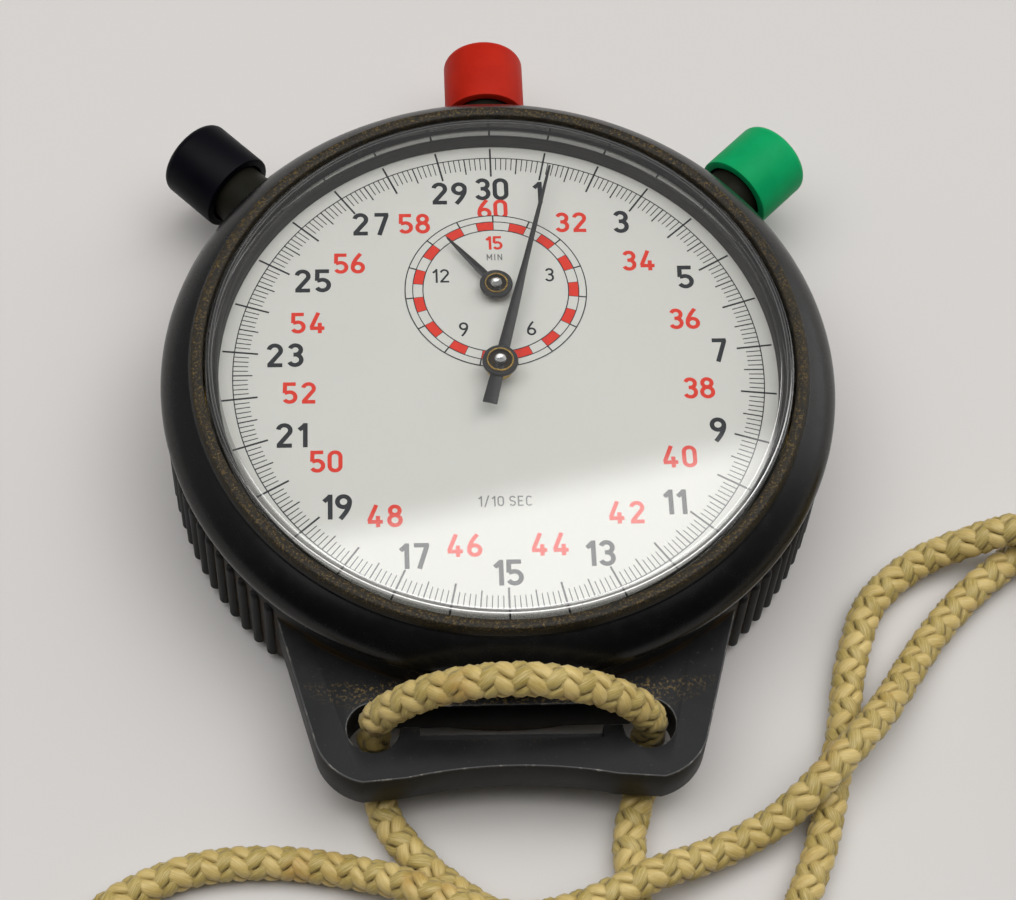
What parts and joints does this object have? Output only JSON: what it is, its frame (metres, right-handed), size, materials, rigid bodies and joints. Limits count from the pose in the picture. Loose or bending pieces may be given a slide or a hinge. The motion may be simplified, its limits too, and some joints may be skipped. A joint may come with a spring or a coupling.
{
  "type": "mechanical stopwatch",
  "caption": "Hand-held mechanical stopwatch with a winding crown, two push buttons, a minute register, a ribbed case and a braided neck cord through its lug.",
  "frame": {"origin": "centre of the back cover's flat outer face, on the dial's axis, where the watch rests on a table", "axes": "+Z out of the dial, +Y towards the red winding crown, -Y towards the lanyard lug, +X towards the green button"},
  "size_m": [0.1074, 0.0891, 0.0169],
  "materials": {
    "case_black": "worn satin",
    "bezel_black": "semi-gloss",
    "crystal": "polished acrylic",
    "reflector": "satin",
    "dial_white": "satin",
    "print_black": "printed ink",
    "print_red": "printed ink",
    "red_plastic": "satin",
    "green_plastic": "satin",
    "black_plastic": "satin",
    "hand_black": "lacquered",
    "brass": "turned",
    "steel": "polished",
    "nickel": "grained",
    "blue_steel": "blued",
    "cord_straw": "braided"
  },
  "bodies": {
    "case": {"case_body": "case_black", "back_cover": "case_black", "bezel": "bezel_black", "crystal": "crystal", "reflector_ring": "reflector", "dial": "dial_white", "movement_ring": "brass", "mainplate": "brass", "barrel_bridge": "nickel", "train_bridge": "nickel", "balance_cock": "nickel", "pillar_1": "brass", "pillar_2": "brass", "pillar_3": "brass", "pillar_4": "brass", "pillar_5": "brass", "pillar_6": "brass", "bridge_screw_1": "blue_steel", "bridge_screw_2": "blue_steel", "bridge_screw_3": "blue_steel", "bridge_screw_4": "blue_steel", "bridge_screw_5": "blue_steel", "bridge_screw_6": "blue_steel", "hairspring": "blue_steel", "crown_spring": "steel", "green_button_spring": "steel", "black_button_spring": "steel", "lanyard_out": "cord_straw", "lanyard_loop": "cord_straw", "lanyard_back": "cord_straw", "lanyard_hank": "cord_straw", "lanyard_knot": "cord_straw"},
    "winding": {"winding_pinion": "steel"},
    "crown": {"red_crown_cap": "red_plastic", "crown_stem": "steel"},
    "crown_gear": {"crown_wheel": "steel"},
    "ratchet": {"ratchet_wheel": "steel", "barrel_arbor": "steel"},
    "barrel": {"mainspring_barrel": "brass", "mainspring": "blue_steel"},
    "centre": {"centre_wheel": "brass"},
    "third": {"third_wheel": "brass"},
    "seconds": {"seconds_wheel": "brass", "heart_cam_seconds": "steel", "seconds_hand": "hand_black", "seconds_hand_hub": "brass"},
    "minutes": {"minute_recorder_wheel": "brass", "heart_cam_minutes": "steel", "minute_hand": "hand_black", "minute_hand_hub": "brass"},
    "escape": {"escape_wheel": "steel"},
    "pallet": {"pallet_fork": "steel"},
    "balance": {"balance_wheel": "brass"},
    "green_button": {"green_button_cap": "green_plastic", "green_button_stem": "steel"},
    "black_button": {"black_button_cap": "black_plastic", "black_button_stem": "steel"},
    "hammer": {"reset_hammer": "steel"},
    "brake": {"start_lever": "steel"},
    "click": {"click": "steel"}
  },
  "joints": [
    {"name": "winding_turn", "type": "hinge", "parent": "case", "child": "winding", "pos_m": [0, 0.0165, 0.0066], "axis": [0, 1, 0], "continuous": true},
    {"name": "crown_press", "type": "slide", "parent": "winding", "child": "crown", "axis": [0, -1, 0], "range_m": [0, 0.0015], "stiffness_N_per_m": 1200, "springref_m": -0.001, "deforming": ["crown_spring"]},
    {"name": "crown_wheel_turn", "type": "hinge", "parent": "case", "child": "crown_gear", "pos_m": [-0.0039, 0.0131, 0.0036], "axis": [0, 0, 1], "continuous": true},
    {"name": "ratchet_turn", "type": "hinge", "parent": "case", "child": "ratchet", "pos_m": [-0.01078, 0.00856, 0.0036], "axis": [0, 0, 1], "continuous": true},
    {"name": "click_lift", "type": "hinge", "parent": "case", "child": "click", "pos_m": [-0.0183, 0.0109, 0.0036], "axis": [0, 0, 1], "range_deg": [0, 8], "stiffness_Nm_per_rad": 0.002, "springref_deg": -5.73},
    {"name": "seconds_turn", "type": "hinge", "parent": "case", "child": "seconds", "pos_m": [0, 0, 0.0088], "axis": [0, 0, -1], "continuous": true},
    {"name": "third_turn", "type": "hinge", "parent": "case", "child": "third", "pos_m": [-0.00526, -0.00192, 0.0076], "axis": [0, 0, -1], "continuous": true},
    {"name": "centre_turn", "type": "hinge", "parent": "case", "child": "centre", "pos_m": [-0.01011, 0.00089, 0.0064], "axis": [0, 0, -1], "continuous": true},
    {"name": "barrel_turn", "type": "hinge", "parent": "case", "child": "barrel", "pos_m": [-0.01078, 0.00856, 0.005], "axis": [0, 0, -1], "continuous": true},
    {"name": "minutes_turn", "type": "hinge", "parent": "case", "child": "minutes", "pos_m": [0, 0.00808, 0.0076], "axis": [0, 0, -1], "continuous": true},
    {"name": "escape_turn", "type": "hinge", "parent": "case", "child": "escape", "pos_m": [0.0052, -0.00092, 0.0066], "axis": [0, 0, -1], "continuous": true},
    {"name": "pallet_rock", "type": "hinge", "parent": "case", "child": "pallet", "pos_m": [0.00857, -0.00375, 0.00655], "axis": [0, 0, 1], "range_deg": [-6, 6]},
    {"name": "balance_swing", "type": "hinge", "parent": "case", "child": "balance", "pos_m": [0.01147, -0.00877, 0.0075], "axis": [0, 0, 1], "range_deg": [-160, 160], "stiffness_Nm_per_rad": 0.00002},
    {"name": "green_press", "type": "slide", "parent": "case", "child": "green_button", "axis": [-0.7071, -0.7071, 0], "range_m": [0, 0.0015], "stiffness_N_per_m": 1200, "springref_m": -0.001, "deforming": ["green_button_spring"]},
    {"name": "black_press", "type": "slide", "parent": "case", "child": "black_button", "axis": [0.7009, -0.7133, 0], "range_m": [0, 0.0015], "stiffness_N_per_m": 1200, "springref_m": -0.001, "deforming": ["black_button_spring"]},
    {"name": "hammer_turn", "type": "hinge", "parent": "case", "child": "hammer", "pos_m": [0.0105, 0.0128, 0.0056], "axis": [0, 0, 1], "range_deg": [-3, 0]},
    {"name": "brake_turn", "type": "hinge", "parent": "case", "child": "brake", "pos_m": [-0.01585, 0.00915, 0.00755], "axis": [0, 0, 1], "range_deg": [-0.6, 0]}
  ],
  "couplings": [
    {"joint": "crown_wheel_turn", "follows": "winding_turn", "ratio": 0.34286},
    {"joint": "ratchet_turn", "follows": "winding_turn", "ratio": -0.42857},
    {"joint": "third_turn", "follows": "seconds_turn", "ratio": -0.16667},
    {"joint": "centre_turn", "follows": "seconds_turn", "ratio": 0.027778},
    {"joint": "barrel_turn", "follows": "seconds_turn", "ratio": -0.0046296},
    {"joint": "minutes_turn", "follows": "seconds_turn", "ratio": 0.033333},
    {"joint": "escape_turn", "follows": "seconds_turn", "ratio": -10},
    {"joint": "hammer_turn", "follows": "green_press", "rad_per_m": -34},
    {"joint": "brake_turn", "follows": "black_press", "rad_per_m": -6.5}
  ]
}
